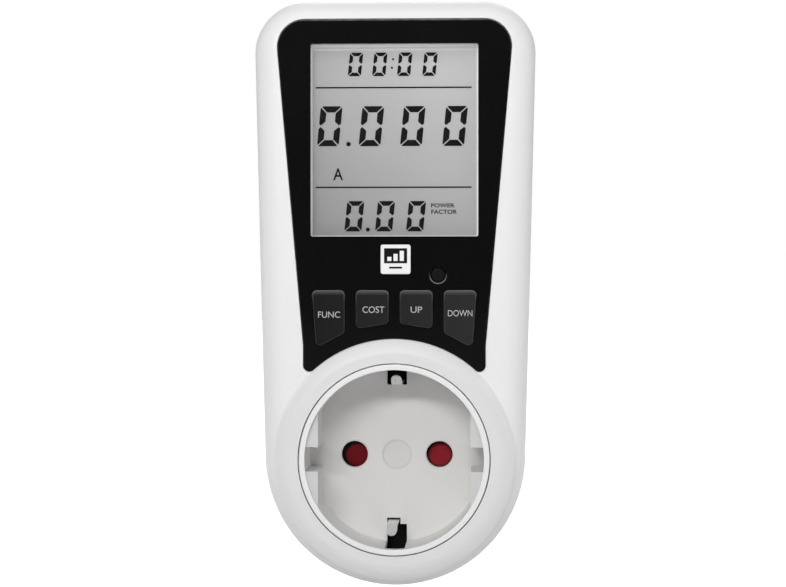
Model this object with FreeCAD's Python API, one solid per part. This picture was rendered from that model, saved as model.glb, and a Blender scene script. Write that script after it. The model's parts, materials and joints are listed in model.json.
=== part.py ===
import FreeCAD, Part
import math
import os

# A plug-in energy meter: a two-part housing with a display, four keys and a reset button above
# an earthed wall socket, and the matching plug on its flat back.
# Sizes are in millimetres. Seen from the front, +X is to the right and +Z is up; the front faces -Y.
# The origin is on the axis that the plug and the socket share, in the plane of the flat back.
# A "reach" is a place along Y; a higher reach is nearer the wall.

Vector = FreeCAD.Vector

# ---------------------------------------------------------------- housing
housing_depth = 41.0
foot_radius = 28.5
foot_centre_height = 0.7
crown_height = 99.8
crown_half_width = 30.7
crown_corner_radius = 11.3
rear_cover_depth = 21.0
front_edge_radius = 5.0
rear_edge_radius = 3.0
side_wall = 2.0
front_wall = 2.6
rear_wall = 2.4
seam_gap = 0.3
weld = 0.5
lip_height = 1.5
lip_thickness = 1.0
lip_clearance = 0.15

# ---------------------------------------------------------------- socket
collar_rise = 1.8
collar_top_radius = 22.6
collar_base_radius = 26.2
rim_radius = 20.7
rim_clearance = 0.2
well_radius = 19.45
well_depth = 17.5
well_floor = 2.0
guide_half_gap = 16.55
guide_recess = 1.0
guide_notch_half_height = 2.65
pin_pitch = 19.0
pin_hole_radius = 2.95
pin_hole_chamfer = 0.3
centre_mark_radius = 3.2
centre_mark_depth = 0.3
earth_slot_half_width = 2.2
earth_slot_rim = 2.5
top_nose_radius = 16.0
bottom_nose_radius = 14.6
nose_clearance = 0.4

# ---------------------------------------------------------------- fascia and display
fascia_thickness = 0.8
fascia_proud = 0.1
fascia_fit = 0.1
fascia_top = 95.6
fascia_half_width = 25.47
fascia_corner_radius = 6.0
fascia_foot_half_width = 19.78
fascia_knee_height = 24.6
fascia_tip_radius = 1.3
fascia_chamfer = 0.25
view_half_width = 18.2
view_bottom = 48.4
view_top = 90.2
view_corner_radius = 0.4
window_thickness = 1.0
window_margin = 1.0
window_fit = 0.1
glass_thickness = 1.1
glass_side_margin = 1.3
glass_ledge = 1.8
glass_fit = 0.1
reflector_thickness = 0.2
frame_wall = 1.15
frame_plate = 1.5
zebra_width = 1.1
zebra_inset = 0.3
zebra_fit = 0.1
badge_size = (6.5, 6.4)
badge_place = (0.3, 43.4)
badge_thickness = 0.3
badge_corner_radius = 0.5

# ---------------------------------------------------------------- keys and reset button
key_pitch = 9.54
key_width = 7.1
key_top = 36.7
key_foot_radius = 29.5
key_outer_slant = 0.9
key_corner_radius = 1.0
key_crown_radius = 0.45
key_proud = 0.9
key_fit = 0.15
flange_width = 0.7
flange_thickness = 0.8
flange_gap = 0.2
stem_radius = 1.5
reset_place = (9.5, 40.0)
reset_radius = 1.6
reset_recess = 0.35

# ---------------------------------------------------------------- boards
board_thickness = 1.6
display_board_half_width = 20.8
display_board_bottom = 26.3
display_board_top_gap = 0.5
switch_size = 6.0
switch_height = 3.1
switch_height_place = 32.3
plunger_radius = 1.75
plunger_proud = 0.5
plunger_depth = 1.6
plunger_fit = 0.1
power_board_half_width = 24.0
power_board_bottom = 27.0
power_board_standoff = 5.0
board_screw_thread = 0.95
board_screw_head = 1.9
board_screw_head_height = 1.2
board_screw_length = 5.0
board_post_radius = 2.2
board_hole_radius = 1.15

# ---------------------------------------------------------------- housing and insert screws
screw_thread = 1.45
screw_head = 2.5
screw_head_height = 2.0
screw_hole = 1.6
screw_bite = 10.0
screw_head_room = 0.2
screw_sink = 12.0
front_post_radius = 2.5
rear_post_radius = 3.3
crown_post_inset = (7.1, 9.3)
foot_post_angle = 28.0
ear_radius = 2.2
ear_circle = 23.2
ear_thickness = 1.8
ear_post_height = 2.0
ear_angles = (45.0, 135.0, 250.0, 290.0)

# ---------------------------------------------------------------- shutter, contacts and earth
shutter_reach = 13.0
shutter_half_height = 3.1
shutter_thickness = 1.5
shutter_ramp = 0.8
shutter_hub_radius = 4.2
shutter_post_radius = 2.5
shutter_post_fit = 0.08
shutter_room = 3.5
side_gap = 0.3
spring_wire = 0.25
carrier_half_width = 16.5
carrier_tallest_half = 8.5
carrier_face = 1.5
carrier_post_place = 11.5
carrier_post_radius = 2.2
carrier_ear_thickness = 2.0
carrier_rear_gap = 2.4
contact_metal = 0.6
contact_half_width = 2.5
contact_grip = 2.3
contact_pocket = 4.2
lug_height = 12.4
lug_width = 3.0
clip_metal = 0.5
clip_width = 2.3
clip_nose_reach = 8.0
clip_tip_reach = 4.0
clip_tip_slope = 2.0
clip_tip_flare = 0.9
top_clip_place = 0.3
bottom_clip_place = -0.7
clip_root_gap = 1.7
frame_metal = 0.8
frame_half_width = 2.5
frame_arm = 22.0

# ---------------------------------------------------------------- plug
boss_length = 17.0
boss_radius = 18.75
boss_side_room = 1.3
boss_ridge_half_height = 2.35
boss_wall = 2.0
boss_end_wall = 3.0
boss_end_fillet = 1.2
base_flange = 1.0
base_flange_radius = 20.0
base_fit = 0.1
boss_cavity_half_height = 13.4
pin_radius = 2.4
pin_length = 19.0
pin_tip_fillet = 1.8
pin_neck_radius = 2.2
pin_neck = 0.3
pin_flange_radius = 3.4
pin_flange = 1.4
pin_tail = 4.6
pin_fit = 0.05
retainer_thickness = 2.0
retainer_half_width = 13.8
retainer_half_height = 6.5
retainer_screw_place = 4.3
plug_earth_surface = 16.4
plug_earth_metal = 0.8
plug_earth_half_width = 3.5
plug_earth_length = 15.5
groove_fit = 0.1

# ---------------------------------------------------------------- wires
wire_radius = 1.3
wire_rise = 4.0
wire_bend = 3.0
wire_pad_height = 33.0
strap_half_width = 2.0
strap_half_thickness = 0.5
wire_room = 0.6

# ---------------------------------------------------------------- parts on the boards
chip_stand = 0.15
chip_leg_reach = 1.2
chip_leg_share = 0.36
controller_place = (-9.0, 60.0)
controller_size = (12.0, 10.0, 1.6)
controller_legs = 16
metering_place = (8.0, 54.0)
metering_size = (15.4, 7.5, 2.4)
metering_legs = 12
crystal_place = (2.0, 60.0)
crystal_radius = 1.0
crystal_length = 6.0
crystal_lead_length = 2.2
crystal_lead_half = 0.2
crystal_lead_place = 0.5
battery_radius = 5.6
battery_cell = 5.6
battery_cells = 3
battery_place = 84.0
link_pitch = 2.54
link_start = 4.0
link_place = 68.0
link_count = 6
link_half_depth = 1.3
link_header_height = 2.5
link_socket_height = 8.5
link_pin_half = 0.32
link_pin_fit = 0.1
link_pin_sink = 3.0
block_span = (-21.0, -3.0)
block_rows = (62.0, 70.5)
block_height = 15.0
block_edge = 0.8
can_place = (15.0, 77.0)
can_radius = 4.0
can_height = 12.0
can_edge = 0.4
can_groove = (1.6, 2.2)
can_groove_depth = 0.3
varistor_place = (-14.0, 53.0)
varistor_radius = 5.0
varistor_thickness = 4.0
varistor_edge = 1.2
varistor_stand = 2.0
lead_radius = 0.4
lead_place = 2.5
fuse_span = (4.0, 13.0)
fuse_place = 40.0
fuse_radius = 1.7
fuse_edge = 0.5
fuse_stand = 0.3
fuse_lead = 2.0
shunt_span = (-17.0, -7.0)
shunt_place = 42.0
shunt_rise = 4.0
shunt_metal = 1.0
shunt_half_width = 2.0

# ---------------------------------------------------------------- reaches along Y
rim_y = -housing_depth
face_y = rim_y + collar_rise
face_inner_y = face_y + front_wall
seam_y = -rear_cover_depth
front_seam_y = seam_y - seam_gap / 2
rear_seam_y = seam_y + seam_gap / 2
rear_inner_y = -rear_wall
post_meet_y = seam_y + 1.0
screw_seat_y = -screw_sink

fascia_y = face_y - fascia_proud
recess_y = fascia_y + fascia_thickness
window_y = recess_y + window_thickness
glass_y = face_inner_y + glass_fit
rear_glass_y = glass_y + glass_thickness
reflector_y = rear_glass_y + glass_thickness
plate_y = reflector_y + reflector_thickness
flange_y = face_inner_y + flange_gap
plunger_y = flange_y + flange_thickness + 0.6
switch_y = plunger_y + plunger_proud
display_board_y = switch_y + switch_height
display_rear_y = display_board_y + board_thickness
key_y = fascia_y - key_proud

floor_y = rim_y + well_depth
floor_rear_y = floor_y + well_floor
shutter_y = floor_rear_y + side_gap
carrier_y = floor_rear_y + shutter_room
carrier_rear_y = rear_inner_y - carrier_rear_gap
contact_y = carrier_y + carrier_face
tail_y = carrier_rear_y + contact_metal
ear_y = face_inner_y + ear_post_height
clip_root_y = floor_rear_y + clip_root_gap
base_y = rear_inner_y - base_flange
frame_rear_y = base_y - 0.2

power_rear_y = rear_inner_y - power_board_standoff
power_board_y = power_rear_y - board_thickness

pin_x = pin_pitch / 2
boss_half_width = pin_x + pin_flange_radius + boss_side_room + boss_wall
wire_lane = math.sqrt((boss_radius - boss_wall - wire_radius - wire_room) ** 2 - pin_x ** 2)
carrier_half_height = min(carrier_tallest_half, wire_lane - wire_radius - wire_room)
pin_end_y = boss_length + pin_length
boss_floor_y = boss_length - boss_end_wall
pin_flange_y = boss_floor_y - pin_flange
pin_tail_y = pin_flange_y - pin_tail
retainer_y = pin_flange_y - retainer_thickness

# ---------------------------------------------------------------- places across the face
crown_post = (crown_half_width - crown_post_inset[0], crown_height - crown_post_inset[1])
foot_post_circle = (rim_radius + foot_radius - side_wall - foot_centre_height / 2) / 2
foot_post = (
    foot_post_circle * math.cos(math.radians(foot_post_angle)),
    -foot_post_circle * math.sin(math.radians(foot_post_angle)),
)
housing_posts = [(sign * x, z) for x, z in (crown_post, foot_post) for sign in (-1, 1)]
ears = [
    (ear_circle * math.cos(math.radians(angle)), ear_circle * math.sin(math.radians(angle)))
    for angle in ear_angles
]
display_board_top = crown_height - side_wall - display_board_top_gap
frame_bottom = view_bottom - glass_ledge - frame_wall
frame_top = view_top + glass_ledge + frame_wall
display_board_posts = [
    (sign * x, z)
    for x, z in ((display_board_half_width - 2.5, frame_bottom - 3.3), (16.0, frame_top + 2.3))
    for sign in (-1, 1)
]
power_board_top = crown_post[1] - rear_post_radius - 1.2
power_board_posts = [
    (sign * (power_board_half_width - 3.0), z)
    for z in (power_board_bottom + 3.5, power_board_top - 3.5)
    for sign in (-1, 1)
]
key_places = {
    "func_key": -1.5 * key_pitch,
    "cost_key": -0.5 * key_pitch,
    "up_key": 0.5 * key_pitch,
    "down_key": 1.5 * key_pitch,
}


# ================================================================ shapes in common
def box(x0, x1, y0, y1, z0, z1):
    return Part.makeBox(x1 - x0, y1 - y0, z1 - z0, Vector(x0, y0, z0))


def rod(radius, y0, y1, x=0.0, z=0.0):
    """A cylinder along Y."""
    return Part.makeCylinder(radius, y1 - y0, Vector(x, y0, z), Vector(0, 1, 0))


def taper(radius0, radius1, y0, y1, x=0.0, z=0.0):
    """A cone along Y."""
    return Part.makeCone(radius0, radius1, y1 - y0, Vector(x, y0, z), Vector(0, 1, 0))


def fused(first, *others):
    return first.fuse(list(others)).removeSplitter()


def line(a, b):
    return Part.makeLine(Vector(a[0], 0, a[1]), Vector(b[0], 0, b[1]))


def arc(centre, radius, start, end):
    """An arc in the XZ plane, anticlockwise from the angle start to the angle end, in radians."""
    while end < start:
        end += 2 * math.pi
    spots = [
        Vector(centre[0] + radius * math.cos(a), 0, centre[1] + radius * math.sin(a))
        for a in (start, (start + end) / 2, end)
    ]
    return Part.Arc(*spots).toShape()


def tangent(centre0, radius0, centre1, radius1):
    """The outer tangent from one circle to the next, going anticlockwise: its angle and two ends."""
    dx, dz = centre1[0] - centre0[0], centre1[1] - centre0[1]
    angle = math.atan2(-dx, dz) + math.asin((radius0 - radius1) / math.hypot(dx, dz))
    ends = [
        (c[0] + r * math.cos(angle), c[1] + r * math.sin(angle))
        for c, r in ((centre0, radius0), (centre1, radius1))
    ]
    return angle, ends[0], ends[1]


def band_around(circles):
    """The closed outline that goes round a list of (centre, radius), as a belt goes round pulleys."""
    count = len(circles)
    runs = [tangent(*circles[i], *circles[(i + 1) % count]) for i in range(count)]
    edges = []
    for i, (centre, radius) in enumerate(circles):
        edges.append(arc(centre, radius, runs[i - 1][0], runs[i][0]))
        edges.append(line(runs[i][1], runs[i][2]))
    return Part.Wire(edges)


def rounded_polygon(points, radius):
    """A convex outline with anticlockwise corners, each rounded by the same radius."""
    centres = []
    for i, corner in enumerate(points):
        before = direction(points[i - 1], corner)
        after = direction(corner, points[(i + 1) % len(points)])
        turn = before[0] * after[1] - before[1] * after[0]
        back = radius * (1 - (before[0] * after[0] + before[1] * after[1])) / turn
        foot = (corner[0] - before[0] * back, corner[1] - before[1] * back)
        centres.append((foot[0] - before[1] * radius, foot[1] + before[0] * radius))
    return band_around([(centre, radius) for centre in centres])


def rounded_box_outline(x0, x1, z0, z1, radius):
    return rounded_polygon([(x0, z0), (x1, z0), (x1, z1), (x0, z1)], radius)


def direction(a, b):
    length = math.hypot(b[0] - a[0], b[1] - a[1])
    return ((b[0] - a[0]) / length, (b[1] - a[1]) / length)


def slab(outline, y0, y1):
    """The solid that fills an outline from y0 to y1."""
    face = Part.Face(outline)
    face.translate(Vector(0, y0, 0))
    return face.extrude(Vector(0, y1 - y0, 0))


def grown(outline, amount):
    return outline.makeOffset2D(amount)


def edges_at(shape, y):
    """The edges that lie in the plane of constant y."""
    return [e for e in shape.Edges if all(abs(v.Point.y - y) < 1e-4 for v in e.Vertexes)
            and abs(e.CenterOfMass.y - y) < 1e-4]


def bent_strip(path, metal, x0, x1):
    """Sheet metal of one thickness that follows a path of (y, z) points, on the path's left side."""
    outer = []
    for i, (y, z) in enumerate(path):
        before = direction(path[i - 1], path[i]) if i else direction(path[0], path[1])
        after = direction(path[i], path[i + 1]) if i + 1 < len(path) else before
        normals = (-before[1] - after[1], before[0] + after[0])
        scale = metal / (1 + before[0] * after[0] + before[1] * after[1])
        outer.append((y + normals[0] * scale, z + normals[1] * scale))
    corners = [Vector(x0, y, z) for y, z in path + outer[::-1] + path[:1]]
    return Part.Face(Part.makePolygon(corners)).extrude(Vector(x1 - x0, 0, 0))


def wire_along(points, radius, bend):
    """A round wire along straight runs that are joined by tangent arcs."""
    corners = [Vector(*p) for p in points]
    edges = []
    start = corners[0]
    for a, b, c in zip(corners, corners[1:], corners[2:]):
        inward = (a - b).normalize()
        outward = (c - b).normalize()
        half = inward.getAngle(outward) / 2
        enter = b + inward * (bend / math.tan(half))
        leave = b + outward * (bend / math.tan(half))
        middle = b + (inward + outward).normalize() * (bend / math.sin(half) - bend)
        edges.append(Part.makeLine(start, enter))
        edges.append(Part.Arc(enter, middle, leave).toShape())
        start = leave
    edges.append(Part.makeLine(start, corners[-1]))
    section = Part.Wire(Part.makeCircle(radius, corners[0], corners[1] - corners[0]))
    return Part.Wire(edges).makePipeShell([section], True, True)


def flat_screw(thread, length, head, head_height, seat_y, x, z, point=-1):
    """A pan-head screw along Y. Its seat is at seat_y, and its thread goes towards point."""
    slot_width, slot_depth = head * 0.35, head_height * 0.45
    tip = seat_y + point * length
    top = seat_y - point * head_height
    shank = rod(thread, min(seat_y, tip), max(seat_y, tip), x, z)
    cap = rod(head, min(seat_y, top), max(seat_y, top), x, z)
    cap = cap.makeFillet(head_height * 0.4, edges_at(cap, top))
    sunk = top + point * slot_depth
    arms = [
        box(x - head * a, x + head * a, min(top, sunk), max(top, sunk), z - head * b, z + head * b)
        for a, b in ((0.6, slot_width / head / 2), (slot_width / head / 2, 0.6))
    ]
    return fused(shank, cap).cut(arms)


# ================================================================ outlines
def housing_outline(inset):
    """The housing's outline, moved inwards by inset."""
    corner_x = crown_half_width - crown_corner_radius
    corner_z = crown_height - crown_corner_radius
    return band_around([
        ((0, foot_centre_height), foot_radius - inset),
        ((corner_x, corner_z), crown_corner_radius - inset),
        ((-corner_x, corner_z), crown_corner_radius - inset),
    ])


def housing_body(inset, flat_y, open_y, edge_radius):
    """The housing's outline as a solid, with a rounded edge round its flat end."""
    body = slab(housing_outline(inset), flat_y, open_y)
    return body.makeFillet(edge_radius, edges_at(body, flat_y))


def fascia_outline():
    """Wide at the top, narrow at the foot, with a hollow foot that goes round the collar."""
    tip_x = fascia_foot_half_width - fascia_tip_radius
    tip_z = math.sqrt((collar_base_radius + fascia_tip_radius) ** 2 - tip_x ** 2)
    share = collar_base_radius / (collar_base_radius + fascia_tip_radius)
    inward = math.atan2(-tip_z, -tip_x)
    corner = (fascia_half_width - fascia_corner_radius, fascia_top - fascia_corner_radius)
    knee = (fascia_foot_half_width, fascia_knee_height)
    lean, knee, shoulder = tangent(knee, 0.0, corner, fascia_corner_radius)
    right = [
        arc((tip_x, tip_z), fascia_tip_radius, inward, 0),
        line((fascia_foot_half_width, tip_z), knee),
        line(knee, shoulder),
        arc(corner, fascia_corner_radius, lean, math.pi / 2),
    ]
    left = [edge.mirror(Vector(0, 0, 0), Vector(1, 0, 0)) for edge in right]
    top = line((corner[0], fascia_top), (-corner[0], fascia_top))
    hollow_end = math.atan2(tip_z * share, tip_x * share)
    foot = arc((0, 0), collar_base_radius, hollow_end, math.pi - hollow_end)
    return Part.Wire(Part.__sortEdges__(right + [top] + left + [foot]))


def key_outline(middle):
    """A key's outline: square at the top, its foot on a circle about the socket."""
    side = 1 if middle > 0 else -1
    inner = middle - side * key_width / 2
    outer = middle + side * key_width / 2
    slant = key_outer_slant if abs(middle) > key_pitch else 0.0
    outer_foot = outer - side * slant
    corners = [
        (inner, math.sqrt(key_foot_radius ** 2 - inner ** 2)),
        (outer_foot, math.sqrt(key_foot_radius ** 2 - outer_foot ** 2)),
        (outer, key_top),
        (inner, key_top),
    ]
    return rounded_polygon(corners[::side], key_corner_radius)


# ================================================================ housing
def collar():
    """The raised ring round the socket, with a falling curved shoulder."""
    shoulder = ((collar_top_radius + collar_base_radius) / 2 + 0.5, rim_y + collar_rise * 0.32)
    edges = [
        Part.makeLine(Vector(0, rim_y, 0), Vector(collar_top_radius, rim_y, 0)),
        Part.Arc(
            Vector(collar_top_radius, rim_y, 0),
            Vector(shoulder[0], shoulder[1], 0),
            Vector(collar_base_radius, face_y, 0),
        ).toShape(),
        Part.makeLine(Vector(collar_base_radius, face_y, 0), Vector(collar_base_radius, ear_y, 0)),
        Part.makeLine(Vector(collar_base_radius, ear_y, 0), Vector(0, ear_y, 0)),
        Part.makeLine(Vector(0, ear_y, 0), Vector(0, rim_y, 0)),
    ]
    ring = Part.Face(Part.Wire(edges)).revolve(Vector(0, 0, 0), Vector(0, 1, 0), 360)
    return ring.common(rod(collar_base_radius, rim_y, face_inner_y))


def front_cover():
    outside = housing_body(0, face_y, front_seam_y, front_edge_radius)
    outside = outside.fuse(collar())
    inside = housing_body(
        side_wall, face_inner_y, front_seam_y + 1, front_edge_radius - side_wall)
    root_y = face_inner_y - weld
    posts = [rod(front_post_radius, root_y, post_meet_y, x, z) for x, z in housing_posts]
    posts += [rod(ear_radius, root_y, ear_y, x, z) for x, z in ears]
    posts += [rod(board_post_radius, root_y, display_board_y, x, z) for x, z in display_board_posts]
    cover = fused(outside.cut(inside), *posts)
    holes = [rod(screw_thread, post_meet_y - screw_bite, post_meet_y + 1, x, z)
             for x, z in housing_posts]
    holes += [rod(board_screw_thread, ear_y + ear_thickness - board_screw_length, ear_y + 1, x, z)
              for x, z in ears]
    holes += [
        rod(board_screw_thread, display_rear_y - board_screw_length, display_board_y + 1, x, z)
        for x, z in display_board_posts
    ]
    holes.append(rod(rim_radius + rim_clearance, rim_y - 1, ear_y))
    holes.append(slab(grown(fascia_outline(), fascia_fit), face_y - 1, recess_y))
    holes.append(slab(window_outline(window_margin + window_fit), recess_y - 1, window_y))
    holes.append(slab(window_outline(0), window_y - 1, face_inner_y + 1))
    holes += [slab(grown(key_outline(x), key_fit), recess_y - 1, face_inner_y + 1)
              for x in key_places.values()]
    holes.append(rod(reset_radius + key_fit, recess_y - 1, face_inner_y + 1, *reset_place))
    return cover.cut(holes)


def plug_profile(y0, y1, grow):
    """The plug's round section, with flat sides and a guide ridge in the middle of each flat."""
    radius, half_width = boss_radius + grow, boss_half_width + grow
    ridge_half_height = boss_ridge_half_height + grow
    barrel = rod(radius, y0, y1)
    barrel = barrel.makeFillet(boss_end_fillet, edges_at(barrel, y1))
    flat = box(-half_width, half_width, y0, y1, -radius, radius)
    ridge = box(-radius, radius, y0, y1, -ridge_half_height, ridge_half_height)
    return barrel.common(flat.fuse(ridge))


def rear_cover():
    outside = housing_body(0, 0, rear_seam_y, rear_edge_radius)
    inside = housing_body(
        side_wall, rear_inner_y, rear_seam_y - 1, rear_edge_radius - side_wall)
    lip_outer = side_wall + lip_clearance
    lip_inner = lip_outer + lip_thickness
    lip_root_y = rear_seam_y + lip_height
    lip = slab(housing_outline(lip_outer), rear_seam_y - lip_height, rear_seam_y)
    lip = lip.fuse(slab(housing_outline(side_wall / 2), rear_seam_y, lip_root_y))
    post_room = [
        rod(front_post_radius + side_gap, rear_seam_y - lip_height - 1, post_meet_y, x, z)
        for x, z in housing_posts
    ]
    bore = slab(housing_outline(lip_inner), rear_seam_y - lip_height - 1, lip_root_y + 1)
    lip = lip.cut([bore] + post_room)
    posts = [rod(rear_post_radius, post_meet_y, rear_inner_y + weld, x, z) for x, z in housing_posts]
    posts += [rod(board_post_radius, power_rear_y, rear_inner_y + weld, x, z)
              for x, z in power_board_posts]
    cover = fused(outside.cut(inside), lip, *posts)
    holes = [rod(screw_head + screw_head_room, screw_seat_y, 1, x, z) for x, z in housing_posts]
    holes += [rod(screw_hole, post_meet_y - 1, screw_seat_y + 1, x, z) for x, z in housing_posts]
    holes += [
        rod(board_screw_thread, power_rear_y - 1, power_board_y + board_screw_length, x, z)
        for x, z in power_board_posts
    ]
    holes.append(plug_profile(rear_inner_y - 1, boss_length, base_fit))
    return cover.cut(holes)


def plug_base():
    """The plug's body. It stands through the rear cover, with a flange welded inside the wall."""
    body = plug_profile(base_y, boss_length, 0).fuse(rod(base_flange_radius, base_y, rear_inner_y))
    cavity_half_width = boss_half_width - boss_wall
    cavity = rod(boss_radius - boss_wall, base_y - 1, boss_floor_y).common(
        box(-cavity_half_width, cavity_half_width, base_y - 1, boss_floor_y,
            -boss_cavity_half_height, boss_cavity_half_height))
    screw_rows = (-retainer_screw_place, retainer_screw_place)
    screw_posts = [rod(board_post_radius, pin_flange_y, boss_floor_y + weld, 0, z)
                   for z in screw_rows]
    base = fused(body.cut(cavity), *screw_posts)
    holes = [rod(board_screw_thread, pin_flange_y - 1, retainer_y + board_screw_length, 0, z)
             for z in screw_rows]
    holes += [rod(pin_neck_radius + pin_fit, boss_floor_y - 1, boss_length + 1, x)
              for x in (-pin_x, pin_x)]
    groove_floor = plug_earth_surface - plug_earth_metal
    slot_top = plug_earth_surface + groove_fit
    reach = plug_earth_half_width + groove_fit
    for side in (-1, 1):
        groove = sorted((side * groove_floor, side * (boss_radius + 1)))
        slot = sorted((side * groove_floor, side * slot_top))
        holes.append(box(-reach, reach, 0, boss_length + 1, *groove))
        holes.append(box(-reach, reach, base_y - 1, 1, *slot))
    return base.cut(holes)


def housing_screws():
    length = post_meet_y - screw_bite - screw_seat_y
    return Part.makeCompound([
        flat_screw(screw_thread, -length, screw_head, screw_head_height, screw_seat_y, x, z)
        for x, z in housing_posts
    ])


# ================================================================ fascia and display
def window_outline(margin):
    return rounded_box_outline(
        -view_half_width - margin, view_half_width + margin,
        view_bottom - margin, view_top + margin, view_corner_radius)


def fascia():
    sheet = slab(fascia_outline(), fascia_y, recess_y)
    sheet = sheet.makeChamfer(fascia_chamfer, edges_at(sheet, fascia_y))
    holes = [slab(window_outline(0), fascia_y - 1, recess_y + 1)]
    holes += [slab(grown(key_outline(x), key_fit), fascia_y - 1, recess_y + 1)
              for x in key_places.values()]
    hole_radius = reset_radius + key_fit
    holes.append(rod(hole_radius, fascia_y - 1, recess_y + 1, *reset_place))
    holes.append(taper(
        hole_radius + fascia_chamfer, hole_radius, fascia_y, fascia_y + fascia_chamfer, *reset_place))
    return sheet.cut(holes)


def display_window():
    return slab(window_outline(window_margin), recess_y, window_y)


def badge():
    half_width, half_height = badge_size[0] / 2, badge_size[1] / 2
    x, z = badge_place
    outline = rounded_box_outline(
        x - half_width, x + half_width, z - half_height, z + half_height, badge_corner_radius)
    plate = slab(outline, fascia_y - badge_thickness, fascia_y)
    return plate.makeChamfer(0.1, edges_at(plate, fascia_y - badge_thickness))


glass_half_width = view_half_width + glass_side_margin


def lcd_front_glass():
    return box(-glass_half_width, glass_half_width, glass_y, rear_glass_y,
               view_bottom - glass_ledge, view_top + glass_ledge)


def lcd_rear_glass():
    return box(-glass_half_width, glass_half_width, rear_glass_y, reflector_y,
               view_bottom - 0.3, view_top + 0.3)


def lcd_reflector():
    return box(-view_half_width, view_half_width, reflector_y, plate_y, view_bottom, view_top)


def zebra_places():
    """The two rows where rubber strips join the glass to the board: (low z, high z)."""
    low = view_bottom - glass_ledge + zebra_inset
    high = view_top + glass_ledge - zebra_inset
    return [(low, low + zebra_width), (high - zebra_width, high)]


def lcd_frame():
    outer = glass_half_width + frame_wall
    inner = glass_half_width + zebra_fit
    frame = box(-outer, outer, glass_y, display_board_y, frame_bottom, frame_top)
    well = box(-inner, inner, glass_y - 1, plate_y,
               view_bottom - glass_ledge - zebra_fit, view_top + glass_ledge + zebra_fit)
    back = box(-inner, inner, plate_y + frame_plate, display_board_y + 1,
               view_bottom - glass_ledge - zebra_fit, view_top + glass_ledge + zebra_fit)
    slots = [
        box(-view_half_width - zebra_fit, view_half_width + zebra_fit, plate_y - 1,
            display_board_y, low - zebra_fit, high + zebra_fit)
        for low, high in zebra_places()
    ]
    return frame.cut([well, back] + slots)


def zebra_strips():
    return Part.makeCompound([
        box(-view_half_width, view_half_width, rear_glass_y, display_board_y, low, high)
        for low, high in zebra_places()
    ])


# ================================================================ keys and switches
def key(middle):
    """A key cap with a flange that holds it behind the front wall, and a stem to its switch."""
    outline = key_outline(middle)
    cap = slab(outline, key_y, flange_y + flange_thickness)
    cap = cap.makeFillet(key_crown_radius, edges_at(cap, key_y))
    flange = slab(grown(outline, flange_width), flange_y, flange_y + flange_thickness)
    stem = rod(stem_radius, flange_y + flange_thickness / 2, plunger_y, middle, switch_height_place)
    return fused(cap, flange, stem)


def reset_button():
    x, z = reset_place
    end_y = flange_y + flange_thickness
    cap = rod(reset_radius, fascia_y + reset_recess, end_y, x, z)
    cap = cap.makeFillet(0.3, edges_at(cap, fascia_y + reset_recess))
    flange = rod(reset_radius + flange_width, flange_y, end_y, x, z)
    return fused(cap, flange, rod(stem_radius, flange_y + flange_thickness / 2, plunger_y, x, z))


switch_places = [(x, switch_height_place) for x in key_places.values()] + [reset_place]


def key_switches():
    bodies = []
    for x, z in switch_places:
        half = switch_size / 2
        body = slab(rounded_box_outline(x - half, x + half, z - half, z + half, 0.5),
                    switch_y, display_board_y)
        hole = rod(plunger_radius + plunger_fit, switch_y - 1, switch_y + plunger_depth + 0.6, x, z)
        bodies.append(body.cut(hole))
    return Part.makeCompound(bodies)


def plunger(x, z):
    pad = rod(plunger_radius, plunger_y, switch_y + plunger_depth, x, z)
    return pad.makeFillet(0.2, edges_at(pad, plunger_y))


# ================================================================ display board
def display_board():
    board = box(-display_board_half_width, display_board_half_width, display_board_y,
                display_rear_y, display_board_bottom, display_board_top)
    return board.cut([rod(board_hole_radius, display_board_y - 1, display_rear_y + 1, x, z)
                      for x, z in display_board_posts])


def board_screw(seat_y, x, z, point):
    return flat_screw(board_screw_thread, board_screw_length, board_screw_head,
                      board_screw_head_height, seat_y, x, z, point)


def display_board_screws():
    return Part.makeCompound([board_screw(display_rear_y, x, z, -1) for x, z in display_board_posts])


def chip(x, z, base_y, towards, length, width, height, legs):
    """A flat package with a row of legs along each long side. It stands on base_y."""
    top_y = base_y + towards * height
    lift_y = base_y + towards * chip_stand
    body = box(x - length / 2, x + length / 2, min(lift_y, top_y), max(lift_y, top_y),
               z - width / 2, z + width / 2)
    leg_y = base_y + towards * height / 2
    pitch = length / legs
    half_leg = pitch * chip_leg_share / 2
    feet = []
    for i in range(legs):
        middle = x - length / 2 + pitch * (i + 0.5)
        for side in (-1, 1):
            near, far = z + side * (width / 2 - weld), z + side * (width / 2 + chip_leg_reach)
            feet.append(box(middle - half_leg, middle + half_leg, min(base_y, leg_y),
                            max(base_y, leg_y), min(near, far), max(near, far)))
    return fused(body, *feet)


def controller_chip():
    return chip(*controller_place, display_rear_y, 1, *controller_size, controller_legs)


def crystal():
    """A slim can that lies on the board, with two leads that bend down to it."""
    x, z = crystal_place
    middle_y = display_rear_y + crystal_radius
    foot_x = x - crystal_lead_length + 2 * crystal_lead_half
    can = Part.makeCylinder(
        crystal_radius, crystal_length, Vector(x, middle_y, z), Vector(1, 0, 0))
    leads = []
    for row in (z - crystal_lead_place, z + crystal_lead_place):
        low, high = row - crystal_lead_half, row + crystal_lead_half
        leads.append(box(x - crystal_lead_length, x + weld, middle_y - crystal_lead_half,
                         middle_y + crystal_lead_half, low, high))
        leads.append(box(x - crystal_lead_length, foot_x, display_rear_y,
                         middle_y + crystal_lead_half, low, high))
    return fused(can, *leads)


def backup_battery():
    """Button cells in one shrink sleeve, lying across the board."""
    middle_y = display_rear_y + battery_radius
    start = -battery_cells * battery_cell / 2
    cells = [
        Part.makeCylinder(battery_radius, battery_cell,
                          Vector(start + i * battery_cell, middle_y, battery_place),
                          Vector(1, 0, 0))
        for i in range(battery_cells)
    ]
    return fused(*cells)


link_places = [(link_start + link_pitch * i, link_place) for i in range(link_count)]


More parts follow.
